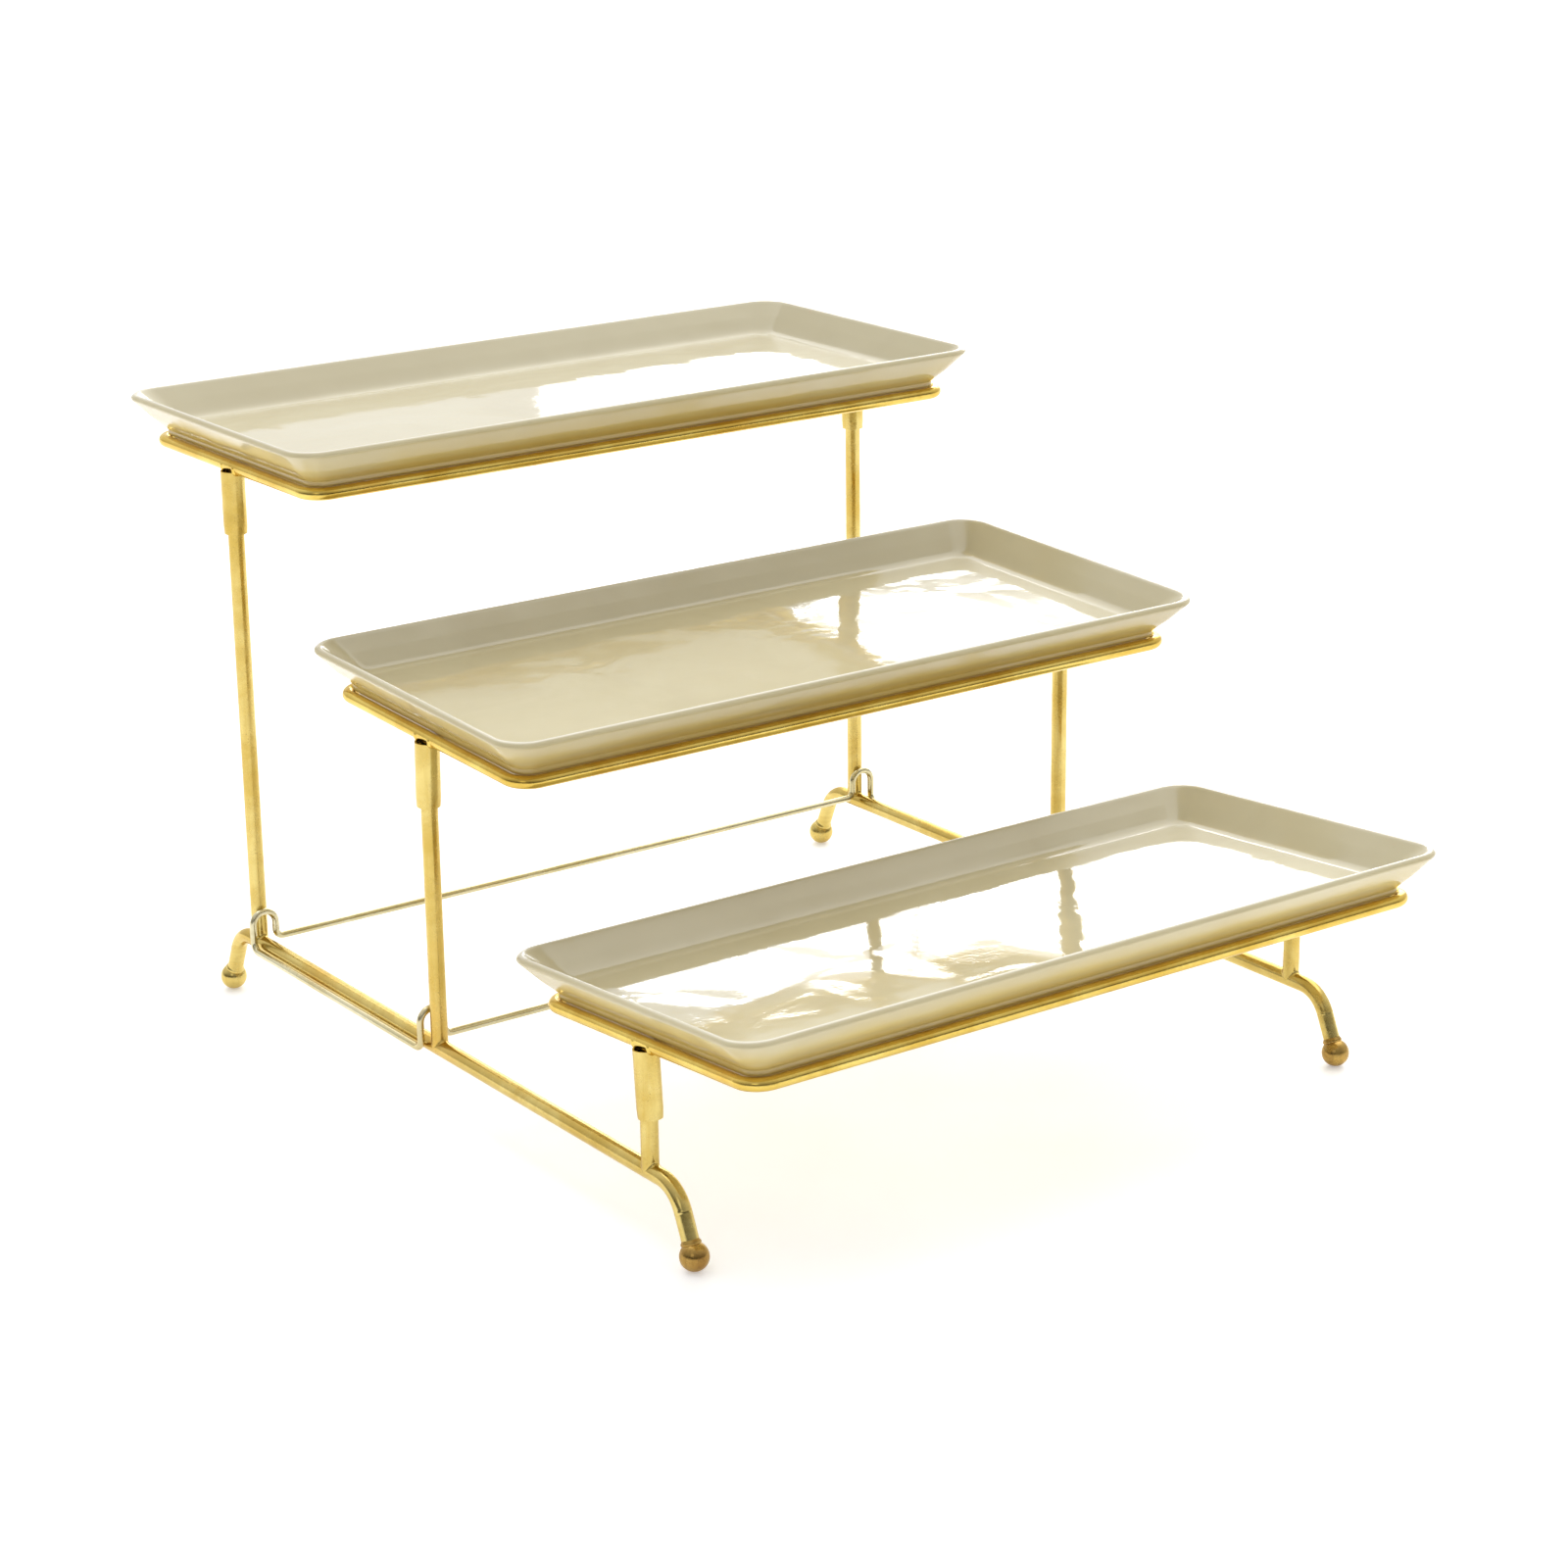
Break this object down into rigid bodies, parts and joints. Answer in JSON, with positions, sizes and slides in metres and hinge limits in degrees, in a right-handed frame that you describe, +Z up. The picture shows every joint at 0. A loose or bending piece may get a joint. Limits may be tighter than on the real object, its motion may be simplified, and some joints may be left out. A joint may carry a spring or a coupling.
{
  "type": "tiered serving stand",
  "caption": "Stepped cake and serving stand: rectangular glazed trays in lift-off wire racks, socketed over the posts of side frames that a loose wire spreader ties.",
  "frame": {"origin": "on the table, midway between the four feet, which is under the middle of the stand to within about 1 mm", "axes": "X along the trays; +Y towards the tallest tier at the rear; +Z up"},
  "size_m": [0.302, 0.4035, 0.2288],
  "materials": {
    "porcelain": "clear gloss glaze, cream",
    "rack_gold": "bright gold, polished",
    "frame_gold": "gold, slightly uneven gloss",
    "foot_gold": "darker gold, worn",
    "spreader_gold": "pale gold"
  },
  "bodies": {
    "side_frames": {"left_rail": "frame_gold", "left_rear_post": "frame_gold", "left_middle_post": "frame_gold", "left_front_post": "frame_gold", "left_rear_foot": "frame_gold", "left_front_foot": "foot_gold", "right_rail": "frame_gold", "right_rear_post": "frame_gold", "right_middle_post": "frame_gold", "right_front_post": "frame_gold", "right_rear_foot": "frame_gold", "right_front_foot": "foot_gold"},
    "rear_tray": {"rear_tray": "porcelain"},
    "rear_rack": {"rear_rack_wire": "rack_gold", "rear_rack_left_socket": "frame_gold", "rear_rack_right_socket": "frame_gold"},
    "middle_tray": {"middle_tray": "porcelain"},
    "middle_rack": {"middle_rack_wire": "rack_gold", "middle_rack_left_socket": "frame_gold", "middle_rack_right_socket": "frame_gold"},
    "front_tray": {"front_tray": "porcelain"},
    "front_rack": {"front_rack_wire": "rack_gold", "front_rack_left_socket": "frame_gold", "front_rack_right_socket": "frame_gold"},
    "spreader": {"spreader": "spreader_gold"}
  },
  "joints": [
    {"name": "rear_rack_lift", "type": "slide", "parent": "side_frames", "child": "rear_rack", "axis": [0, 0, 1], "range_m": [0, 0.026]},
    {"name": "rear_tray_lift", "type": "slide", "parent": "rear_rack", "child": "rear_tray", "axis": [0, 0, 1], "range_m": [0, 0.018]},
    {"name": "middle_rack_lift", "type": "slide", "parent": "side_frames", "child": "middle_rack", "axis": [0, 0, 1], "range_m": [0, 0.026]},
    {"name": "middle_tray_lift", "type": "slide", "parent": "middle_rack", "child": "middle_tray", "axis": [0, 0, 1], "range_m": [0, 0.018]},
    {"name": "front_rack_lift", "type": "slide", "parent": "side_frames", "child": "front_rack", "axis": [0, 0, 1], "range_m": [0, 0.026]},
    {"name": "front_tray_lift", "type": "slide", "parent": "front_rack", "child": "front_tray", "axis": [0, 0, 1], "range_m": [0, 0.018]},
    {"name": "spreader_shift", "type": "slide", "parent": "side_frames", "child": "spreader", "axis": [0, 0, 1], "range_m": [-0.009, 0.03]}
  ]
}
